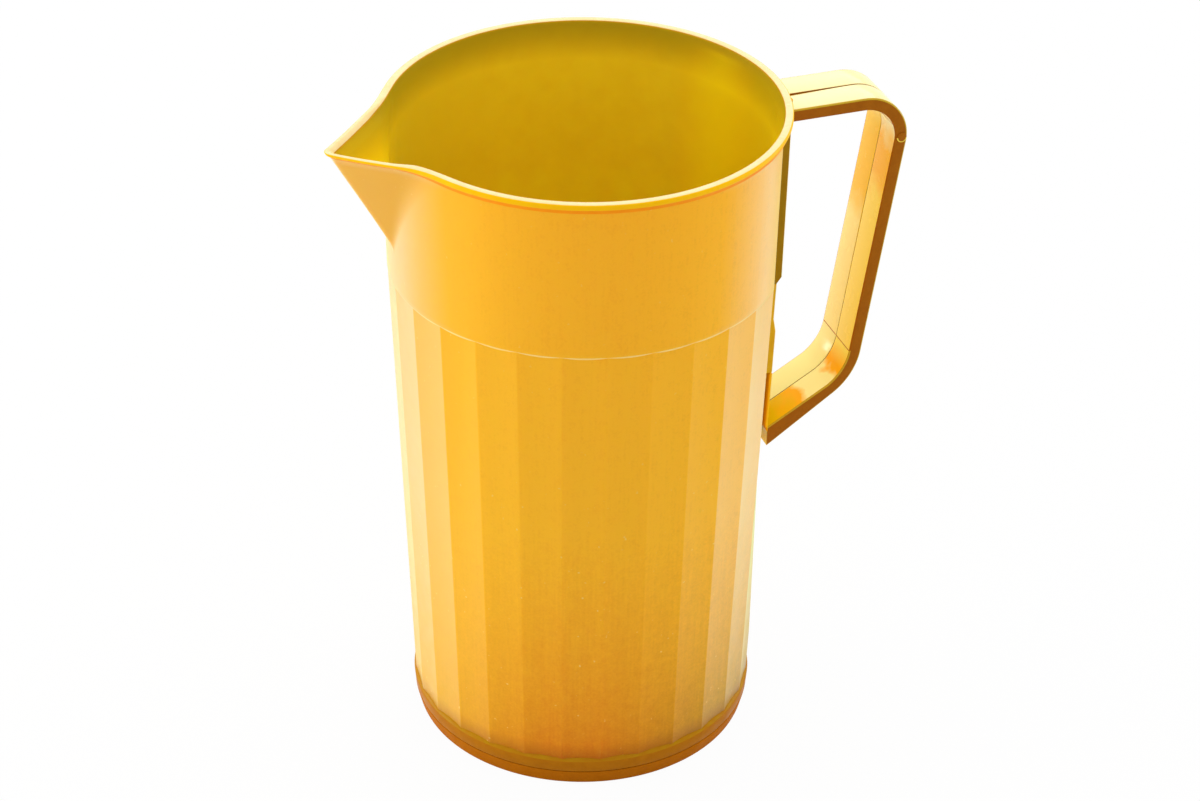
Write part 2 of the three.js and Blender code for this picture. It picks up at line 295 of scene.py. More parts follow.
def cheek_limit(radius):
    """Greatest radius that the cheeks allow in each column, on a wall of a radius for each or for all."""
    radius = per_column(radius)
    side = WALL_OFFSETS[-1]
    round_part = radius[back_count:]
    corner_x = round_part * math.cos(CHEEK_CORNER)
    corner_y = round_part * math.sin(CHEEK_CORNER)
    run_x = np.sqrt(round_part**2 - side**2) - CHEEK_DROP - corner_x
    run_y = side - corner_y
    crossing = np.cos(from_back) * run_y - np.sin(from_back) * run_x
    flat = (corner_x * run_y - corner_y * run_x) / crossing
    flat = np.where(from_back < CHEEK_CORNER, flat, np.inf)
    back = radius[:back_count]
    beside = np.hypot(np.sqrt(back**2 - back_offsets**2) - CHEEK_DROP, back_offsets)
    return np.concatenate([np.where(on_saddle, np.inf, beside), flat])


def cheek_share(z):
    """Share of the cheeks' full depth at a height."""
    return np.clip((z - CHEEK_FOOT) / (CHEEK_BOTTOM - CHEEK_FOOT), 0, 1)


def cheek_inside():
    """How far the cavity's wall moves in behind the cheeks, in each column."""
    share = np.clip((CHEEK_INSIDE_END - from_back) / CHEEK_INSIDE_RUN, 0, 1)
    share = np.concatenate([np.ones(back_count), share])
    return CHEEK_INSIDE * share**2 * (3 - 2 * share)


def facet_radius(z):
    """Radius of the faceted wall in each column, at a height for each or for all."""
    z = per_column(z)
    ridge = ridge_radius(z)
    back_x = ridge[:back_count] - np.abs(back_offsets) * math.tan(FACET_HALF_ANGLE)
    back = np.hypot(back_x, back_offsets)
    flat = ridge[back_count:] * math.cos(FACET_HALF_ANGLE) / np.cos(rays - facet_middle)
    across = (rays - facet_middle) / FACET_HALF_ANGLE
    plain = np.concatenate([back, flat - FLUTE_DEPTH * (1 - across**2)])
    return plain - np.clip(plain - cheek_limit(ridge), 0, None) * cheek_share(z)


def spout_radius(z, proud, nose_radius):
    """Radius of the spout's V in each ray at a height, with its faces moved out by proud."""
    rise = (z - SPOUT_BOTTOM) / SPOUT_DEPTH
    foot_centre = collar_radius(SPOUT_BOTTOM) - NOSE_FOOT_RADIUS
    top_radius = NOSE_RADIUS - BEAD_PROUD
    top_centre = SPOUT_REACH - NOSE_RADIUS
    centre = foot_centre + (top_centre - foot_centre) * rise
    radius = max(NOSE_FOOT_RADIUS + (top_radius - NOSE_FOOT_RADIUS) * rise, NOSE_LEAST)
    apex = centre + (radius + proud) / math.sin(SPOUT_HALF_ANGLE)
    radius = nose_radius if nose_radius else radius + proud
    centre = apex - radius / math.sin(SPOUT_HALF_ANGLE)
    touch_x = centre + radius * math.sin(SPOUT_HALF_ANGLE)
    touch_y = radius * math.cos(SPOUT_HALF_ANGLE)
    side = apex * math.sin(SPOUT_HALF_ANGLE) / np.sin(SPOUT_HALF_ANGLE + from_nose)
    tip = centre * np.cos(from_nose)
    tip = tip + np.sqrt(np.clip(radius**2 - (centre * np.sin(from_nose)) ** 2, 0, None))
    radii = np.where(from_nose < math.atan2(touch_y, touch_x), tip, side)
    return np.where(from_nose < SPOUT_SECTOR, radii, 0)


def with_spout(radius, z, proud, nose_radius=0.0):
    """Round radius at a height, with the spout blended into it."""
    rise = np.clip((z - SPOUT_BOTTOM) / SPOUT_DEPTH, 0, 1)
    reach = BLEND_AT_FOOT + (BLEND_AT_RIM - BLEND_AT_FOOT) * rise
    round_part = smooth_max(np.full(len(rays), radius), spout_radius(z, proud, nose_radius), reach)
    return np.concatenate([np.full(back_count, radius), round_part])


def on_back(row, face_x, height):
    """Moves a row's saddle points to the saddle's face, at a distance from the axis and a height."""
    moved = row.copy()
    saddle = np.flatnonzero(on_saddle)
    moved[saddle, 0] = face_x - edge_drop[saddle]
    moved[saddle, 2] = height
    return moved


def foot_rows():
    """Underside, from the middle of the floor out to the land, its groove and the band's lower edge."""
    inset = CORNER_SHARE * JOINT_EDGE
    profile = [
        (INNERMOST_ROW, FLOOR_UNDERSIDE),
        (UNDERSIDE_ROW, FLOOR_UNDERSIDE),
        (LAND_INNER, FLOOR_UNDERSIDE),
        (LAND_INNER, JOINT_HEIGHT),
        (GROOVE[0], JOINT_HEIGHT),
        (GROOVE[0], GROOVE_TOP),
        (GROOVE[1], GROOVE_TOP),
        (GROOVE[1], JOINT_HEIGHT),
        (JOINT_RADIUS - JOINT_EDGE, JOINT_HEIGHT),
        (JOINT_RADIUS - inset, JOINT_HEIGHT + inset),
        (JOINT_RADIUS, JOINT_HEIGHT + JOINT_EDGE),
    ]
    return [ring_row(radius, height) for radius, height in profile]


def band_rows():
    """Plain band above the joint with the foot ring."""
    radius = FACET_FOOT_RADIUS + BAND_PROUD
    top = FACET_FOOT_HEIGHT - BAND_PROUD
    inset = CORNER_SHARE * BAND_EDGE
    return [ring_row(radius - BAND_DRAFT, top - BAND_EDGE), ring_row(radius - inset, top + inset)]


def ledge_rows():
    """Sloping top of the band, up to where the facets start."""
    meets = facet_radius(FACET_FOOT_HEIGHT)
    height = FACET_FOOT_HEIGHT + FACET_FOOT_RADIUS - meets
    start = height + BAND_EDGE
    return [
        ring_row(meets + BAND_EDGE, height - BAND_EDGE),
        ring_row(meets, height),
        ring_row(facet_radius(start), start),
    ]


def wall_rows():
    """Faceted wall up to the step, with the pad, link and rib of the saddle at the back."""
    cheeks = np.linspace(CHEEK_FOOT, CHEEK_BOTTOM, CHEEK_ROWS)
    above = np.linspace(CHEEK_BOTTOM, PAD_LOW - ROW_BELOW_PAD, ROWS_TO_PAD)[1:]
    rows = [ring_row(facet_radius(z), z) for z in [FIRST_WALL_ROW, *cheeks, *above]]
    scarf_top = PAD_LOW + SCARF_SLOPE * PAD_PROUD
    under_pad = PAD_LOW - PAD_LIP
    inner = ring_row(facet_radius(under_pad), under_pad)
    rows.append(on_back(inner, ridge_radius(scarf_top) - SCARF_DEPTH, scarf_top))
    stations = [
        (PAD_LOW, ridge_radius(PAD_LOW) + PAD_PROUD),
        (PAD_LOW + 2 * WALL_EDGE, ridge_radius(PAD_LOW) + PAD_PROUD),
        (PAD_TOP, ridge_radius(PAD_TOP) + PAD_PROUD),
        (LINK_LOW, ridge_radius(LINK_LOW) + LINK_PROUD),
        (LINK_TOP, ridge_radius(LINK_TOP) + LINK_PROUD),
        (RIB_BOTTOM, rib_face(RIB_BOTTOM)),
        (RIB_ROW, rib_face(RIB_ROW)),
    ]
    for z, face_x in stations:
        rows.append(on_back(ring_row(facet_radius(z), z), face_x, z))
    collar_edge = np.minimum(STEP_RADIUS, cheek_limit(STEP_RADIUS))
    foot = STEP_HEIGHT - STEP_CHAMFER * (collar_edge - facet_radius(STEP_HEIGHT))
    for z, drop in zip((foot - WALL_EDGE, foot), RIB_ROWS_BELOW_STEP):
        rib_z = STEP_HEIGHT - drop
        rows.append(on_back(ring_row(facet_radius(z), z), rib_face(rib_z), rib_z))
    return rows


def step_rows():
    """Collar's lower edge, down from which a narrow slope runs in to each facet."""
    radius = np.minimum(STEP_RADIUS, cheek_limit(STEP_RADIUS)) - STEP_EDGE
    return [on_back(ring_row(radius, STEP_HEIGHT - STEP_EDGE), rib_face(STEP_HEIGHT), STEP_HEIGHT)]


def collar_row(z):
    """Row of the collar's outside at a height, with the spout and the cheeks."""
    radius = collar_radius(z)
    return ring_row(np.minimum(with_spout(radius, z, 0.0), cheek_limit(radius)), z)


def collar_rows():
    """Collar from above the step to the foot of the bead, with the rib at the back."""
    foot = BEAD_BOTTOM - BEAD_FOOT
    fine = np.arange(SPOUT_ROWS_FROM, foot - SPOUT_ROW_STEP / 2, SPOUT_ROW_STEP)
    rows = []
    for z in [STEP_HEIGHT + ROW_ABOVE_STEP, *COLLAR_ROWS, *fine]:
        rows.append(on_back(collar_row(z), rib_face(z), z))
    radius, height = rim_line(0.0, BEAD_HEIGHT + BEAD_FOOT)
    below_bead = ring_row(np.minimum(radius, cheek_limit(COLLAR_TOP_RADIUS)), height)
    rows.append(on_back(below_bead, rib_face(foot), foot))
    return rows


# Section of the rim from the wall's outside over the top, as (out from the wall, down from the top), and
# of its inner edge, as (share of the wall's thickness, down from the top), first round the mouth and then
# along the spout
UNDERCUT = [(0.02, 2.7), (0.1, 2.55), (0.48, 1.6)]
BEAD = [(0.62, 1.4), (0.7, 1.2), (0.7, 0.45), (0.63, 0.2), (0.42, 0.04)]
LIP = [(0.15, 0.0)]
INNER_LIP = [((0.62, 0.0), (0.26, 0.0)), ((0.70, 0.04), (0.34, 0.06)), ((0.75, 0.14), (0.78, 0.95))]
INNER_EDGE = [((0.78, 0.24), (0.84, 1.2)), ((0.82, 0.45), (0.88, 1.4))]


def along_spout():
    """Share of the spout's own section in each column of the rim."""
    wall = with_spout(COLLAR_TOP_RADIUS, RIM_HEIGHT, 0.0)
    return np.clip((wall - COLLAR_TOP_RADIUS) / SPOUT_BLEND, 0, 1)


def rim_line(out, down):
    """Radius and height in each column of a line round the rim's outside."""
    radius = with_spout(COLLAR_TOP_RADIUS + out, RIM_HEIGHT - down * (1 - SPOUT_THINNING), out)
    return radius, RIM_HEIGHT - down * (1 - SPOUT_THINNING * along_spout())


def inner_rim_row(mouth, spout):
    """Row of the rim's inner edge, from its places round the mouth and along the spout."""
    wall_outer = with_spout(COLLAR_TOP_RADIUS, RIM_HEIGHT, 0.0)
    wall_inner = with_spout(COLLAR_TOP_RADIUS - WALL, RIM_HEIGHT, -WALL, CHANNEL_RADIUS)
    share, down = (a + (b - a) * along_spout() for a, b in zip(mouth, spout))
    return ring_row(wall_outer + (wall_inner - wall_outer) * share, RIM_HEIGHT - down)


def droop(points):
    """Points with the spout's nose let down a little, most at its tip and none at its foot."""
    radius = np.hypot(points[:, 0], points[:, 1])
    beyond = np.clip((radius - RIM_RADIUS) / (SPOUT_REACH - RIM_RADIUS), 0, 1)
    rise = np.clip((points[:, 2] - SPOUT_BOTTOM) / SPOUT_DEPTH, 0, 1)
    on_spout = points[:, 0] < -np.abs(points[:, 1])
    lowered = points.copy()
    lowered[:, 2] -= np.where(on_spout, NOSE_DROOP * (1 - (1 - beyond) ** 2) * rise, 0)
    return lowered


def cavity_rows():
    """Cavity from the rim down with the spout's channel, round the floor's fillet and in to its middle."""
    fillet_top = FLOOR_TOP + FLOOR_FILLET
    fine = np.arange(LIP_TAPER_END, CHANNEL_ROWS_TO, -CHANNEL_ROW_STEP)
    plain = np.linspace(CAVITY_ROWS_FROM, fillet_top, CAVITY_ROWS)
    rows = []
    for z in [*fine, *plain]:
        radius = inner_radius(z)
        if z > SPOUT_BOTTOM - CHANNEL_RUN_OUT:
            radius = with_spout(radius, z, -WALL, CHANNEL_RADIUS)
        below_rim = np.clip((RIM_HEIGHT - z) / CHEEK_TAPER, 0, 1)
        rows.append(ring_row(radius - cheek_inside() * min(below_rim, cheek_share(z)), z))
    for angle in np.linspace(0, math.pi / 2, FILLET_ROWS)[1:]:
        radius = inner_radius(fillet_top) - FLOOR_FILLET * (1 - math.cos(angle))
        rows.append(ring_row(radius, FLOOR_TOP + FLOOR_FILLET * (1 - math.sin(angle))))
    for radius in (FLOOR_ROW, INNERMOST_ROW):
        rows.append(ring_row(radius, FLOOR_TOP))
    return rows


def make_piece(name, points, faces, materials, material_of_face=None):
    """Mesh object from points in millimetres round the jug's axis."""
    mesh = bpy.data.meshes.new(name)
    mesh.from_pydata([(x * MM + AXIS, y * MM, z * MM) for x, y, z in points], [], faces)
    for material in materials:
        mesh.materials.append(material)
    if material_of_face is not None:
        mesh.polygons.foreach_set("material_index", material_of_face)
    mesh.shade_smooth()
    mesh.set_sharp_from_angle(angle=SHARP_ANGLE)
    mesh.validate()
    piece = bpy.data.objects.new(name, mesh)
    bpy.context.scene.collection.objects.link(piece)
    return piece


# Material slots of the vessel's mesh
SLOTS = ("wall", "inside", "saddle", "link", "band", "ledge", "step", "undercut", "bead", "lip", "edge")


def slot_on_saddle(slot, column, height):
    """Slot of a face among the back columns, at a height, whose row has a slot of its own."""
    first_side = len(WALL_OFFSETS) - 1
    last_side = back_count - 2 - first_side
    if slot not in ("wall", "step") or not first_side <= column <= last_side:
        return slot
    if column not in (first_side, last_side):
        return "wall"
    return "link" if height < RIB_BOTTOM else "saddle"


def vessel(materials):
    """Closed shell from the middle of the underside, up the outside, over the rim and down to the floor."""
    groups = [
        (foot_rows() + band_rows(), "band"),
        (ledge_rows(), "ledge"),
        (wall_rows(), "wall"),
        (step_rows(), "step"),
        (collar_rows(), "wall"),
        ([ring_row(*rim_line(out, down)) for out, down in UNDERCUT], "undercut"),
        ([ring_row(*rim_line(out, down)) for out, down in BEAD], "bead"),
        ([ring_row(*rim_line(out, down)) for out, down in LIP], "lip"),
        ([inner_rim_row(mouth, spout) for mouth, spout in INNER_LIP], "lip"),
        ([inner_rim_row(mouth, spout) for mouth, spout in INNER_EDGE], "edge"),
        (cavity_rows(), "inside"),
    ]
    rows = [row for group, slot in groups for row in group]
    row_slots = [slot for group, slot in groups for row in group]
    points = droop(np.concatenate(rows))
    underside_pole = len(points)
    floor_pole = underside_pole + 1
    points = np.concatenate([points, [[0, 0, FLOOR_UNDERSIDE], [0, 0, FLOOR_TOP]]])
    faces = []
    slots = []
    for j in range(column_count):
        after = (j + 1) % column_count
        faces.append((underside_pole, after, j))
        slots.append(SLOTS.index("band"))
        for i in range(len(rows) - 1):
            here = i * column_count
            there = here + column_count
            faces.append((here + j, here + after, there + after, there + j))
            height = rows[i + 1][len(WALL_OFFSETS)][2]
            slots.append(SLOTS.index(slot_on_saddle(row_slots[i + 1], j, height)))
        last = (len(rows) - 1) * column_count
        faces.append((last + j, last + after, floor_pole))
        slots.append(SLOTS.index("inside"))
    return make_piece("vessel", points, faces, [materials[slot] for slot in SLOTS], slots)


def foot(material):
    """Foot ring, turned from its profile, with the tongue that keys it to the vessel."""
    inset = CORNER_SHARE * FOOT_EDGE
    profile = [
        (RING_INNER + JOINT_EDGE, 0),
        (FOOT_RADIUS - FOOT_EDGE, 0),
        (FOOT_RADIUS - inset, inset),
        (FOOT_RADIUS, FOOT_EDGE),
        (JOINT_RADIUS - RING_DRAFT, RING_TOP - JOINT_EDGE),
        (JOINT_RADIUS - JOINT_EDGE, RING_TOP),
        (TONGUE[1], RING_TOP),
        (TONGUE[1], TONGUE_TOP),
        (TONGUE[0], TONGUE_TOP),
        (TONGUE[0], RING_TOP),
        (RING_INNER + JOINT_EDGE, RING_TOP),
        (RING_INNER, RING_TOP - JOINT_EDGE),
        (RING_INNER, JOINT_EDGE),
    ]
    turns = np.linspace(0, 2 * math.pi, FOOT_SEGMENTS, endpoint=False)
    points = [(r * math.cos(t), r * math.sin(t), z) for t in turns for r, z in profile]
    size = len(profile)
    faces = []
    for j in range(FOOT_SEGMENTS):
        here = j * size
        there = (j + 1) % FOOT_SEGMENTS * size
        for i in range(size):
            after = (i + 1) % size
            faces.append((here + i, there + i, there + after, here + after))
    return make_piece("foot_ring_shell", points, faces, [material])


# Strap: stations along the D, each a pair of points on its outer and inner faces, in the handle's plane
ARM_STATIONS = 12
UPPER_BEND_STATIONS = (18, 10)
GRIP_STATIONS = 24
LOWER_BEND_STATIONS = 18
LOWER_ARM_STATIONS = 10


def part_way(start, end, share):
    """Point at a share of the way between two points."""
    return tuple(a + (b - a) * share for a, b in zip(start, end))


def straight_run(start, end, shares):
    """Stations at shares of the way between two stations."""
    return [tuple(part_way(a, b, share) for a, b in zip(start, end)) for share in shares]


def bend(centre, radius, angles):
    """Stations at angles round a bend of the strap's middle."""
    stations = []
    for angle in angles:
        x = math.cos(angle)
        z = math.sin(angle)
        faces = (radius + STRAP_THICKNESS / 2, radius - STRAP_THICKNESS / 2)
        stations.append(tuple((centre[0] + r * x, centre[1] + r * z) for r in faces))
    return stations


def strap_stations():
    """Stations of the strap, the two with mould lines, and its lower root at the middle and inside."""
    half = STRAP_THICKNESS / 2
    arm = STRAP_TOP - half
    root = rib_face(STRAP_TOP) + CLEARANCE
    across = (math.cos(GRIP_LEAN), -math.sin(GRIP_LEAN))
    down = (-math.sin(GRIP_LEAN), -math.cos(GRIP_LEAN))
    out = (math.cos(LOWER_SLOPE), math.sin(LOWER_SLOPE))
    upper = (HANDLE_REACH - UPPER_BEND - half, arm - UPPER_BEND)
    grip_top = (upper[0] + UPPER_BEND * across[0], upper[1] + UPPER_BEND * across[1])
    low_root = (ridge_radius(PLATE_BOTTOM) + PAD_PROUD, LOWER_ARM_HEIGHT)
    apart = (low_root[0] - grip_top[0], low_root[1] - grip_top[1])
    length = (apart[0] * out[1] - apart[1] * out[0]) / (down[0] * out[1] - down[1] * out[0])
    bend_start = length - LOWER_BEND * math.tan((math.pi / 2 - GRIP_LEAN - LOWER_SLOPE) / 2)
    grip_end = (grip_top[0] + down[0] * bend_start, grip_top[1] + down[1] * bend_start)
    lower = (grip_end[0] - LOWER_BEND * across[0], grip_end[1] - LOWER_BEND * across[1])
    rise = half / math.cos(LOWER_SLOPE)
    outer_root = (low_root[0], low_root[1] - rise)
    inner_root = (low_root[0] + ROOT_STEP, low_root[1] + rise + ROOT_GUSSET)

    arm_places = np.linspace(root, upper[0], ARM_STATIONS)[:-1]
    stations = [((x, arm + half), (x, arm - half)) for x in arm_places]
    to_mark, from_mark = UPPER_BEND_STATIONS
    mark_turn = MARK_WIDTH / (UPPER_BEND - half)
    stations += bend(upper, UPPER_BEND, np.linspace(math.pi / 2, UPPER_MARK, to_mark))
    upper_mark = len(stations) - 1
    stations += bend(upper, UPPER_BEND, np.linspace(UPPER_MARK - mark_turn, -GRIP_LEAN, from_mark))
    grip_foot = bend(lower, LOWER_BEND, [-GRIP_LEAN])
    stations += straight_run(stations[-1], grip_foot[0], np.linspace(0, 1, GRIP_STATIONS)[1:-1])
    lower_mark = len(stations)
    mark_turn = MARK_WIDTH / (LOWER_BEND - half)
    turns = np.linspace(-GRIP_LEAN - mark_turn, LOWER_SLOPE - math.pi / 2, LOWER_BEND_STATIONS)
    stations += grip_foot + bend(lower, LOWER_BEND, turns)
    shares = np.linspace(0, 1, LOWER_ARM_STATIONS)[1:]
    stations += straight_run(stations[-1], (outer_root, inner_root), shares)
    return stations, (upper_mark, lower_mark), low_root, inner_root


# Material slots of a strap half, and the steps round its section: its side and the seam, its inner face,
# the rounded edges of its side, and the count of those in the seam's groove
# The side slot holds painted shade and the mould lines, the edge slot painted shade, and the grip and arm
# slots painted light and reflections
FACE_SLOT, SIDE_SHADE_AND_MARK_SLOT, EDGE_SHADE_SLOT, GRIP_PAINTED_LIGHT_SLOT, ARM_REFLECTION_SLOT, PLATE_SLOT = range(6)
CORNER_POINTS = 5
SIDE_STEPS = (2 * CORNER_POINTS - 1, 4 * CORNER_POINTS - 1)
INNER_STEP = 3 * CORNER_POINTS - 1
OUTER_EDGE_STEPS = range(CORNER_POINTS, 2 * CORNER_POINTS - 1)
INNER_EDGE_STEPS = range(2 * CORNER_POINTS, INNER_STEP)
GROOVE_STEPS = CORNER_POINTS - 1


def section(outer, inner, side, seam_edge):
    """Ring of points round one half of the strap, with rounded edges, from the seam's outer edge."""
    thick = math.hypot(inner[0] - outer[0], inner[1] - outer[1])
    corners = [
        (SEAM_GAP, 0.0, seam_edge),
        (STRAP_HALF_WIDTH, 0.0, STRAP_EDGE),
        (STRAP_HALF_WIDTH, thick, STRAP_EDGE),
        (SEAM_GAP, thick, SEAM_EDGE),
    ]
    directions = [((0, 1), (1, 0)), ((-1, 0), (0, 1)), ((0, -1), (-1, 0)), ((1, 0), (0, -1))]
    ring = []
    for (y, t, radius), (before, after) in zip(corners, directions):
        radius = min(radius, thick * LARGEST_EDGE_SHARE)
        centre = (y + radius * (before[0] + after[0]), t + radius * (before[1] + after[1]))
        for angle in np.linspace(0, math.pi / 2, CORNER_POINTS):
            py = centre[0] - radius * (after[0] * math.cos(angle) + before[0] * math.sin(angle))
            pt = centre[1] - radius * (after[1] * math.cos(angle) + before[1] * math.sin(angle))
            x, z = part_way(outer, inner, pt / thick)
            ring.append((x, side * py, z))
    return ring


def strap_slot(station, step, marks, root, side):
    """Slot of the face after a station along the strap, whose plate starts at root, and a step round it."""
    upper_mark, lower_mark = marks
    if station >= root and step != SIDE_STEPS[1]:
        return PLATE_SLOT
    if step in SIDE_STEPS:
        # Painted shade on the sides and the seam faces
        return SIDE_SHADE_AND_MARK_SLOT
    # Painted shade on the outer edge's rounding and in the near half's seam groove
    in_groove = side < 0 and station < upper_mark and step < GROOVE_STEPS
    if step in OUTER_EDGE_STEPS or in_groove:
        return EDGE_SHADE_SLOT
    # Painted shade on the inner edge's rounding, over its highlight
    if step in INNER_EDGE_STEPS:
        return SIDE_SHADE_AND_MARK_SLOT if station < lower_mark else EDGE_SHADE_SLOT
    if step != INNER_STEP:
        return FACE_SLOT
    if station == lower_mark or (station == upper_mark and side < 0):
        return SIDE_SHADE_AND_MARK_SLOT
    if station < lower_mark:
        return GRIP_PAINTED_LIGHT_SLOT
    return ARM_REFLECTION_SLOT if side < 0 else FACE_SLOT


def add_stud(points, faces, slots):
    """Adds the mould's round mark, by the upper bend on the near side, as a closed disc in the strap, with
    painted shade on its disc and half its ring.
    """
    levels = (
        (STUD_RADIUS, STUD_SET_IN),
        (STUD_RADIUS, -STUD_SIDE),
        (STUD_RADIUS - STUD_BEVEL, -STUD_PROUD),
    )
    first = len(points)
    for radius, depth in levels:
        for turn in np.linspace(0, 2 * math.pi, STUD_SEGMENTS, endpoint=False):
            x = STUD[0] + radius * math.cos(turn)
            points.append((x, -STRAP_HALF_WIDTH + depth, STUD[1] + radius * math.sin(turn)))
    for level in range(len(levels) - 1):
        here = first + level * STUD_SEGMENTS
        there = here + STUD_SEGMENTS
        for j in range(STUD_SEGMENTS):
            after = (j + 1) % STUD_SEGMENTS
            faces.append((here + j, here + after, there + after, there + j))
            # Painted shade on one half of the ring and the face's gold on the other, as light and shade on
            # the mark's relief
            slots.append(FACE_SLOT if j >= STUD_SEGMENTS // 2 else SIDE_SHADE_AND_MARK_SLOT)
    last = first + (len(levels) - 1) * STUD_SEGMENTS
    faces.append(tuple(range(first, first + STUD_SEGMENTS))[::-1])
    faces.append(tuple(range(last, last + STUD_SEGMENTS)))
    slots += [SIDE_SHADE_AND_MARK_SLOT, SIDE_SHADE_AND_MARK_SLOT]


def plate_stations(low_root, inner_root):
    """Stations of the foot plate, up from the lower arm's root, between the wall and its own face."""

    def wall_point(z):
        return (ridge_radius(z) + CLEARANCE, z)

    def face_point(z):
        return (ridge_radius(z) + PAD_PROUD, z)

    low_row, middle_row = PLATE_ROWS
    return [
        ((low_root[0], PLATE_BOTTOM), (inner_root[0], inner_root[1] + PLATE_STEP)),
        (wall_point(PLATE_BOTTOM + PLATE_HEEL), face_point(low_row)),
        (wall_point(middle_row), face_point(middle_row)),
        (wall_point(PLATE_TOP + PLATE_SCARF), face_point(PLATE_TOP)),
    ]


def strap_half(name, side, materials):
    """Half of the handle on one side of its seam: strap, foot plate and, on the near half, the mark."""
    stations, marks, low_root, inner_root = strap_stations()
    rings = []
    for i, (outer, inner) in enumerate(stations):
        seam_edge = SEAM_EDGE
        if side < 0 and i <= marks[0]:
            along = outer[0] - stations[0][0][0]
            seam_edge = max(GROOVE_LEAST, GROOVE_EDGE * (1 - along / GROOVE_LENGTH))
        rings.append(section(outer, inner, side, seam_edge))
    for outer, inner in plate_stations(low_root, inner_root):
        rings.append(section(outer, inner, side, SEAM_EDGE))
    size = len(rings[0])
    points = [point for ring in rings for point in ring]
    faces = []
    slots = []
    for i in range(len(rings) - 1):
        here = i * size
        there = here + size
        for j in range(size):
            after = (j + 1) % size
            face = (here + j, here + after, there + after, there + j)
            faces.append(face[::-1] if side > 0 else face)
            slots.append(strap_slot(i, j, marks, len(stations), side))
    start = tuple(range(size))
    end = tuple(range((len(rings) - 1) * size, len(rings) * size))
    faces.append(start if side > 0 else start[::-1])
    faces.append(end[::-1] if side > 0 else end)
    slots += [SIDE_SHADE_AND_MARK_SLOT, SIDE_SHADE_AND_MARK_SLOT]
    if side < 0:
        add_stud(points, faces, slots)
    return make_piece(name, points, faces, materials, slots)


# Materials, with places, sizes and depths in millimetres
NOISE_RANGE = (0.3, 0.7)
BLOTCH_RANGE = (0.35, 0.75)
SPECK_RANGE = (0.745, 0.80)
BLOTCH_SIZE = 3.0
BLOTCH_AMOUNT = 0.7
GLOSS_PATCH_SIZE = 5.0
GLOSS_CHANGE = 0.2
GRAIN_SIZE = 0.9
FINE_GRAIN_DEPTH = 0.015
BUMP_STRENGTH = 0.5
SCATTER_DEPTH = 4.0
SCATTER_TINT = (1.0, 0.8, 0.1)
EDGE_GLOSS_RANGE = (0.38, 0.66)
COAT_ROUGHNESS = 0.3
COAT_INDEX = 2.1
SHEEN_ROUGHNESS = 0.3
SHEEN_TINT = (0.8, 1.0, 0.45, 1)
STREAK_STRETCH = (1, 1, 40)
INSIDE_MIDDLE = -13.0
GRIP_CHANGE_RUN = 9

# Sideways direction across the front of the jug, along which the wall near the foot goes from painted light
# on the left to painted shade on the right
FRONT_SIDE = (0.94, -0.342, 0.0)


def node(tree, kind, inputs, **settings):
    """Adds a node with its settings, and with each input a value or a link from another node's socket."""
    made = tree.nodes.new(kind)
    for key, value in settings.items():
        setattr(made, key, value)
    for key, value in inputs.items():
        if isinstance(value, bpy.types.NodeSocket):
            tree.links.new(value, made.inputs[key])
        else:
            made.inputs[key].default_value = value
    return made


def place_on(tree, stretch=(1, 1, 1)):
    """Places on the object in its own frame, stretched along each axis."""
    object_place = node(tree, "ShaderNodeTexCoord", {}).outputs["Object"]
    squeeze = tuple(1 / s for s in stretch)
    return node(tree, "ShaderNodeMapping", {"Vector": object_place, "Scale": squeeze}).outputs[0]


def noise(tree, place, size, detail):
    """Noise whose blotches are about size millimetres."""
    inputs = {"Vector": place, "Scale": 1 / (size * MM), "Detail": detail}
    return node(tree, "ShaderNodeTexNoise", inputs).outputs[0]


def span(tree, value, low, high, out_low=0.0, out_high=1.0):
    """Value between low and high as a share, or as the outputs given."""
    inputs = {"Value": value, "From Min": low, "From Max": high, "To Min": out_low, "To Max": out_high}
    return node(tree, "ShaderNodeMapRange", inputs).outputs[0]


def over(tree, place, start, end, low=0.0, high=1.0):
    """Amount that goes from low to high between two places in millimetres."""
    return span(tree, place, start * MM, end * MM, low, high)


def waver(tree, place, size, detail, reach, middle=0.0):
    """Noise with blotches of about size millimetres, over a reach to both sides of a middle value."""
    value = noise(tree, place, size, detail)
    return span(tree, value, *NOISE_RANGE, middle - reach, middle + reach)


def maths(tree, operation, a, b=0.0):
    return node(tree, "ShaderNodeMath", {0: a, 1: b}, operation=operation).outputs[0]


def opaque(colour):
    """Colour as a node's input takes it: a link as it is, or three values with a fourth."""
    return colour if isinstance(colour, bpy.types.NodeSocket) else (*colour, 1)


def mix(tree, share, a, b):
    """Colour a with a share of colour b."""
    inputs = {0: share, 6: opaque(a), 7: opaque(b)}
    return node(tree, "ShaderNodeMix", inputs, data_type="RGBA").outputs[2]


def blotched(tree, place, colour, deep, size, amount):
    """Colour with blotches of a deeper one."""
    value = noise(tree, place, size, detail=5.0)
    return mix(tree, span(tree, value, *BLOTCH_RANGE, 0.0, amount), colour, deep)


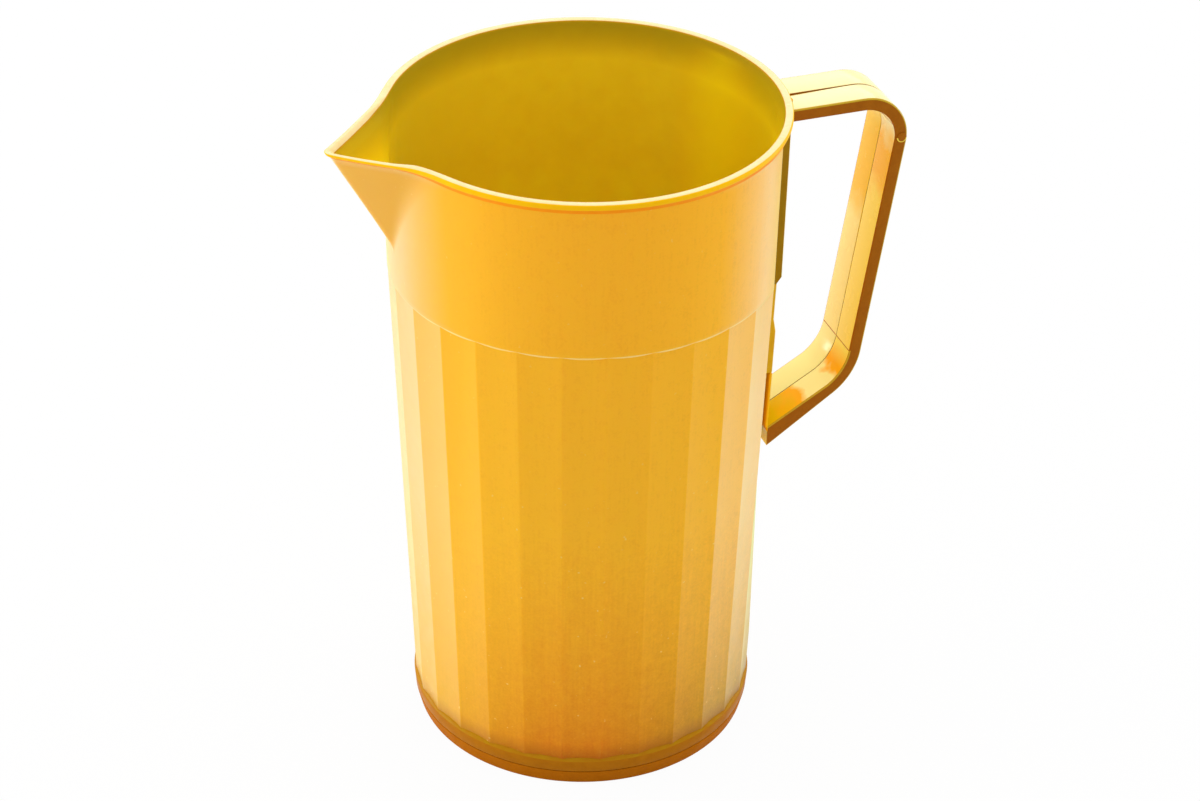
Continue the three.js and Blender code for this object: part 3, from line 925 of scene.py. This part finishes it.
def new_plastic(name, roughness, level, grain_depth=FINE_GRAIN_DEPTH, subsurface=0.0):
    """Material with the fine grain of a moulded surface, as uneven gloss and a bump in millimetres.

    Returns the material, its tree, its shader and the places on the object.
    """
    material = bpy.data.materials.new(name)
    material.use_nodes = True
    tree = material.node_tree
    place = place_on(tree)
    shader = tree.nodes["Principled BSDF"]
    shader.inputs["Roughness"].default_value = roughness
    shader.inputs["Specular IOR Level"].default_value = level
    shader.inputs["Subsurface Weight"].default_value = subsurface
    shader.inputs["Subsurface Radius"].default_value = SCATTER_TINT
    shader.inputs["Subsurface Scale"].default_value = SCATTER_DEPTH * MM
    gloss = waver(tree, place, GLOSS_PATCH_SIZE, 4.0, roughness * GLOSS_CHANGE, roughness)
    tree.links.new(gloss, shader.inputs["Roughness"])
    grain = noise(tree, place, GRAIN_SIZE, detail=3.0)
    inputs = {"Height": grain, "Strength": BUMP_STRENGTH, "Distance": grain_depth * MM}
    tree.links.new(node(tree, "ShaderNodeBump", inputs).outputs[0], shader.inputs["Normal"])
    return material, tree, shader, place


def pale_edges(tree, shader, height):
    """Gloss towards the silhouette and sheen, as of polish in a white room, that fade near the table."""
    facing = node(tree, "ShaderNodeLayerWeight", {"Blend": 0.5}).outputs["Facing"]
    polish = over(tree, height, 8, 90, 0.2, 1.0)
    weight = maths(tree, "MULTIPLY", span(tree, facing, *EDGE_GLOSS_RANGE), polish)
    tree.links.new(weight, shader.inputs["Coat Weight"])
    shader.inputs["Coat Roughness"].default_value = COAT_ROUGHNESS
    shader.inputs["Coat IOR"].default_value = COAT_INDEX
    tree.links.new(over(tree, height, 8, 65, 0.2, 1.0), shader.inputs["Sheen Weight"])
    shader.inputs["Sheen Roughness"].default_value = SHEEN_ROUGHNESS
    shader.inputs["Sheen Tint"].default_value = SHEEN_TINT


def wall_plastic():
    """Translucent wall: gold, more orange towards the base, with streaks, blotches, specks and painted light
    and shade.
    """
    gold = (0.97, 0.475, 0.017)
    # Deeper orange towards the base, partly the plastic's own tone where the wall thickens and partly
    # painted shade near the table
    orange = (0.66, 0.18, 0.001)
    # Painted light low on the wall's left side, and painted shade low on its right side
    painted_light_low_left = (0.69, 0.37, 0.008)
    painted_shade_low_right = (0.38, 0.225, 0.003)
    # Painted shade on the spout's outer face
    on_spout = (0.72, 0.39, 0.013)
    speck = (0.95, 0.70, 0.22)
    # Painted shade on the wall just above the band, near the table
    painted_shade_by_band = (0.40, 0.12, 0.002)
    material, tree, shader, place = new_plastic("vessel_wall", 0.36, 0.12, 0.03, subsurface=0.6)
    along, _, height = node(tree, "ShaderNodeSeparateXYZ", {0: place}).outputs
    offset = node(tree, "ShaderNodeVectorMath", {0: place, 1: FRONT_SIDE}, operation="DOT_PRODUCT")
    sideways = maths(tree, "SUBTRACT", offset.outputs["Value"], AXIS * FRONT_SIDE[0])
    # Low on the wall, painted light towards the left and painted shade towards the right
    low_tone_and_painted_shading = mix(tree, over(tree, sideways, -10, -42), orange, painted_light_low_left)
    low_tone_and_painted_shading = mix(tree, over(tree, sideways, 8, 42), low_tone_and_painted_shading, painted_shade_low_right)
    rise = maths(tree, "POWER", over(tree, height, 10, 92), 0.5)
    blotches = waver(tree, place, 3.0, 6.0, 0.06)
    streaks = waver(tree, place_on(tree, STREAK_STRETCH), 0.8, 2.0, 0.05)
    grain = waver(tree, place, 0.7, 2.0, 0.08)
    uneven = maths(tree, "ADD", maths(tree, "ADD", blotches, streaks), grain)
    share = node(tree, "ShaderNodeClamp", {0: maths(tree, "ADD", rise, uneven)}).outputs[0]
    colour = mix(tree, share, low_tone_and_painted_shading, gold)
    # Painted shade on the spout's outer face
    colour = mix(tree, over(tree, along, -55, -66, 0.0, 0.8), colour, on_spout)
    specks = span(tree, noise(tree, place, 1.5, 1.0), *SPECK_RANGE)
    strength = over(tree, height, 120, 70, 0.25, 0.6)
    colour = mix(tree, maths(tree, "MULTIPLY", specks, strength), colour, speck)
    colour = mix(tree, over(tree, height, 15, 9, 0.0, 0.6), colour, painted_shade_by_band)
    tree.links.new(colour, shader.inputs["Base Color"])
    pale_edges(tree, shader, height)
    return material


def inside_plastic():
    """Inside of the vessel: olive gold as the plastic looks in shade, with painted shade towards the spout
    and under the rim, and painted light at both ends.
    """
    olive = (0.88, 0.665, 0.014)
    deep_olive = (0.83, 0.595, 0.011)
    # Painted shade towards the spout, painted light at both ends and painted shade under the rim
    painted_shade_near_spout = (0.78, 0.585, 0.012)
    painted_light_at_ends = (0.98, 0.68, 0.006)
    painted_shade_under_rim = (0.36, 0.245, 0.005)
    material, tree, shader, place = new_plastic("vessel_inside", 0.45, 0.03, 0.02, subsurface=0.4)
    along, _, height = node(tree, "ShaderNodeSeparateXYZ", {0: place}).outputs
    colour = blotched(tree, place, olive, deep_olive, 6.0, 0.6)
    colour = mix(tree, over(tree, along, -15, -50), colour, painted_shade_near_spout)
    from_middle = maths(tree, "ABSOLUTE", maths(tree, "SUBTRACT", along, INSIDE_MIDDLE * MM))
    colour = mix(tree, over(tree, from_middle, 43, 53), colour, painted_light_at_ends)
    colour = mix(tree, over(tree, height, 188, 199, 0.0, 0.8), colour, painted_shade_under_rim)
    tree.links.new(colour, shader.inputs["Base Color"])
    return material


def strap_plastic():
    """Flat faces of the strap: gold, with painted light that makes it paler along its top and down towards
    the lower bend.
    """
    gold = (0.94, 0.77, 0.055)
    deep_gold = (0.90, 0.65, 0.035)
    # Painted light down towards the lower bend
    low = (0.95, 1.0, 0.43)
    # Painted light along the top
    top = (0.87, 0.78, 0.50)
    material, tree, shader, place = new_plastic("strap_face_and_painted_light", 0.2, 0.45)
    height = node(tree, "ShaderNodeSeparateXYZ", {0: place}).outputs["Z"]
    colour = blotched(tree, place, gold, deep_gold, BLOTCH_SIZE, BLOTCH_AMOUNT)
    colour = mix(tree, over(tree, height, 150, 108, 0.0, 0.85), colour, low)
    colour = mix(tree, over(tree, height, 184, 190, 0.0, 0.6), colour, top)
    tree.links.new(colour, shader.inputs["Base Color"])
    return material


def grip_plastic(name, top, upper, lower, change):
    """Inner face of the grip, in three tones of painted light and reflection from its upper bend down, the
    last below a change in height.
    """
    material, tree, shader, place = new_plastic(name, 0.25, 0.2)
    height = node(tree, "ShaderNodeSeparateXYZ", {0: place}).outputs["Z"]
    height = maths(tree, "ADD", height, waver(tree, place, 6.0, 3.0, 2 * MM))
    colour = mix(tree, over(tree, height, change, change - GRIP_CHANGE_RUN), upper, lower)
    colour = mix(tree, over(tree, height, 175, 182), colour, top)
    tree.links.new(colour, shader.inputs["Base Color"])
    return material


def arm_plastic():
    """Inner face of the lower arm on the near half, in painted reflections: amber at its root, then orange,
    a pale highlight and gold.
    """
    amber = (0.78, 0.57, 0.003)
    orange = (0.98, 0.50, 0.012)
    # Pale painted highlight between the orange and the gold
    pale = (0.98, 0.97, 0.42)
    gold = (0.98, 0.90, 0.17)
    material, tree, shader, place = new_plastic("strap_arm_painted_reflections", 0.2, 0.05)
    along, _, height = node(tree, "ShaderNodeSeparateXYZ", {0: place}).outputs
    along = maths(tree, "ADD", along, waver(tree, place, 9.0, 3.0, 2.5 * MM))
    colour = mix(tree, over(tree, along, 50, 55), amber, orange)
    painted_highlight_patch = maths(tree, "MULTIPLY", over(tree, along, 56.5, 59), over(tree, along, 66.5, 64.5))
    colour = mix(tree, painted_highlight_patch, colour, pale)
    colour = mix(tree, over(tree, height, 104, 109), colour, gold)
    tree.links.new(colour, shader.inputs["Base Color"])
    return material


def solid_plastic(name, colour, deep, roughness, level):
    """Plastic of one colour, with blotches of another shade."""
    material, tree, shader, place = new_plastic(name, roughness, level)
    tone = blotched(tree, place, colour, deep, BLOTCH_SIZE, BLOTCH_AMOUNT)
    tree.links.new(tone, shader.inputs["Base Color"])
    return material


strap_gold_and_painted_light = strap_plastic()
plate_gold = solid_plastic("plate_side", (0.98, 0.52, 0.008), (0.92, 0.43, 0.005), 0.4, 0.03)
# Rounded edges and the seam's groove, an olive copy of the plastic as painted shade
strap_edge_painted_shade = solid_plastic("strap_edge_painted_shade", (0.58, 0.38, 0.015), (0.50, 0.31, 0.01), 0.3, 0.2)
# Each half of the grip has its own painted light and reflections, the near half with a pale painted
# highlight at its upper bend
grip_painted_light = {
    -1: grip_plastic("grip_near_painted_light", (0.97, 0.98, 0.55), (0.97, 0.58, 0.008), (0.98, 0.86, 0.12), 167),
    1: grip_plastic("grip_far_painted_light", (0.94, 0.76, 0.09), (0.93, 0.64, 0.03), (0.97, 0.93, 0.38), 156),
}
strap_arm_painted_reflections = arm_plastic()
# Sides of the strap, a dark brown copy of its plastic as painted shade; it also colours the mould lines
strap_brown_painted_shade = solid_plastic("strap_side_painted_shade", (0.36, 0.115, 0.003), (0.31, 0.09, 0.002), 0.4, 0.05)
# Foot ring, a dark brown copy of the plastic as painted shade near the table
foot_brown_painted_shade = solid_plastic("foot_plastic", (0.49, 0.15, 0.003), (0.42, 0.12, 0.002), 0.5, 0.01)

jug = vessel({
    "wall": wall_plastic(),
    "inside": inside_plastic(),
    # Sides of the rib and the link, darker copies of the plastic as painted shade
    "saddle": solid_plastic("saddle_side_painted_shade", (0.34, 0.19, 0.005), (0.29, 0.15, 0.003), 0.4, 0.03),
    "link": solid_plastic("link_side_painted_shade", (0.72, 0.42, 0.012), (0.62, 0.30, 0.006), 0.4, 0.05),
    # Band and ledge above the joint, dark copies of the plastic as painted shade near the table
    "band": solid_plastic("band_painted_shade", (0.46, 0.165, 0.004), (0.39, 0.13, 0.003), 0.4, 0.03),
    "ledge": solid_plastic("ledge_painted_shade", (0.45, 0.18, 0.004), (0.47, 0.26, 0.005), 0.35, 0.03),
    # Pale step below the collar, as a painted highlight
    "step": solid_plastic("step_edge_painted_highlight", (0.97, 0.70, 0.22), (0.95, 0.60, 0.12), 0.35, 0.3),
    # Deeper orange under the bead, as painted shade
    "undercut": solid_plastic("bead_undercut_painted_shade", (0.98, 0.31, 0.002), (0.94, 0.27, 0.002), 0.4, 0.05),
    "bead": solid_plastic("bead_side", (0.99, 0.54, 0.002), (0.97, 0.49, 0.002), 0.3, 0.05),
    # Cream top of the rim, as painted light from above
    "lip": solid_plastic("rim_top_painted_light", (0.92, 0.72, 0.35), (0.87, 0.63, 0.24), 0.28, 0.15),
    # Darker orange on the rim's inner edge, as a painted reflection of the wall
    "edge": solid_plastic("rim_inner_edge_painted_reflection", (0.66, 0.33, 0.006), (0.58, 0.27, 0.004), 0.4, 0.05),
})
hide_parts("jug_body")
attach(jug, "root")

foot_shell = foot(foot_brown_painted_shade)
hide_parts("foot_ring")
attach(foot_shell, "root")

for side, solid in ((-1, "handle_left_half"), (1, "handle_right_half")):
    tones = [strap_gold_and_painted_light, strap_brown_painted_shade, strap_edge_painted_shade, grip_painted_light[side], strap_arm_painted_reflections, plate_gold]
    strap = strap_half(solid + "_strap", side, tones)
    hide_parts(solid)
    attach(strap, "root")


# Stage
FLOOR_REACH = 3.0


def area_light(name, location, target, size, power):
    """Rectangular lamp that faces a target."""
    data = bpy.data.lights.new(name, "AREA")
    data.shape = "RECTANGLE"
    data.size, data.size_y = size
    data.energy = power
    light = bpy.data.objects.new(name, data)
    light.location = location
    light.rotation_euler = (Vector(target) - Vector(location)).to_track_quat("-Z", "Y").to_euler()
    bpy.context.scene.collection.objects.link(light)


def shown(tree, amount):
    """Amount where the camera sees, straight, by gloss or through a clear piece, and 0 for light."""
    path = node(tree, "ShaderNodeLightPath", {})
    seen = maths(tree, "MAXIMUM", path.outputs["Is Camera Ray"], path.outputs["Is Glossy Ray"])
    seen = maths(tree, "MAXIMUM", seen, path.outputs["Is Transmission Ray"])
    return maths(tree, "MULTIPLY", seen, amount)


def white_world(strength):
    """White where it is seen, and a weaker even light on the object."""
    world = bpy.data.worlds.new("studio")
    bpy.context.scene.world = world
    world.use_nodes = True
    tree = world.node_tree
    tree.nodes.clear()
    level = span(tree, shown(tree, 1.0), 0.0, 1.0, strength, 1.0)
    background = node(tree, "ShaderNodeBackground", {"Color": (1, 1, 1, 1), "Strength": level})
    node(tree, "ShaderNodeOutputWorld", {"Surface": background.outputs[0]})


def white_floor(grey, white_share):
    """Pale floor, white where it is seen apart from the share that keeps the object's shadow."""
    reach = FLOOR_REACH
    corners = [(-reach, -reach, 0), (reach, -reach, 0), (reach, reach, 0), (-reach, reach, 0)]
    mesh = bpy.data.meshes.new("floor")
    mesh.from_pydata(corners, [], [(0, 1, 2, 3)])
    floor = bpy.data.objects.new("floor", mesh)
    bpy.context.scene.collection.objects.link(floor)
    material = bpy.data.materials.new("floor_white")
    material.use_nodes = True
    tree = material.node_tree
    tree.nodes.clear()
    lit = node(tree, "ShaderNodeBsdfDiffuse", {"Color": (grey, grey, grey, 1)})
    white = node(tree, "ShaderNodeEmission", {"Color": (1, 1, 1, 1), "Strength": 1.0})
    inputs = {0: shown(tree, white_share), 1: lit.outputs[0], 2: white.outputs[0]}
    both = node(tree, "ShaderNodeMixShader", inputs)
    node(tree, "ShaderNodeOutputMaterial", {"Surface": both.outputs[0]})
    mesh.materials.append(material)


white_world(strength=0.83)
white_floor(grey=0.75, white_share=0.96)
area_light("overhead", location=(0.1, 0.25, 1.1), target=(0, 0, 0.1), size=(1.0, 1.0), power=4)
area_light("left", location=(-0.85, 0.45, 0.15), target=(0, 0, 0.1), size=(0.8, 0.24), power=6)
area_light("right", location=(0.95, 0.0, 0.15), target=(0, 0, 0.1), size=(0.5, 0.24), power=2.6)
area_light("behind", location=(0.38, 1.05, 0.75), target=(0, 0, 0.15), size=(0.9, 0.5), power=2.5)


# Camera at the photograph's viewing angle
LENS = 92.14
SENSOR = 36.0
AZIMUTH = math.radians(-20)
ELEVATION = math.radians(32.33)
ROLL = math.radians(0.691)
DISTANCE = 0.9044
TARGET_SIDE = 4.926
TARGET_HEIGHT = 103.27

right = Vector((math.cos(AZIMUTH), math.sin(AZIMUTH), 0))
level_back = Vector((math.sin(AZIMUTH), -math.cos(AZIMUTH), 0))
back = level_back * math.cos(ELEVATION) + Vector((0, 0, math.sin(ELEVATION)))
up = back.cross(right)
rolled_right = right * math.cos(ROLL) + up * math.sin(ROLL)
rolled_up = back.cross(rolled_right)
target = Vector((AXIS, 0, TARGET_HEIGHT * MM)) + right * (TARGET_SIDE * MM)
camera_data = bpy.data.cameras.new("camera")
camera_data.lens = LENS
camera_data.sensor_width = SENSOR
camera = bpy.data.objects.new("camera", camera_data)
turn = Matrix((rolled_right, rolled_up, back)).transposed().to_4x4()
camera.matrix_world = Matrix.Translation(target + back * DISTANCE) @ turn
bpy.context.scene.collection.objects.link(camera)
bpy.context.scene.camera = camera

bpy.context.scene.view_settings.view_transform = "Standard"
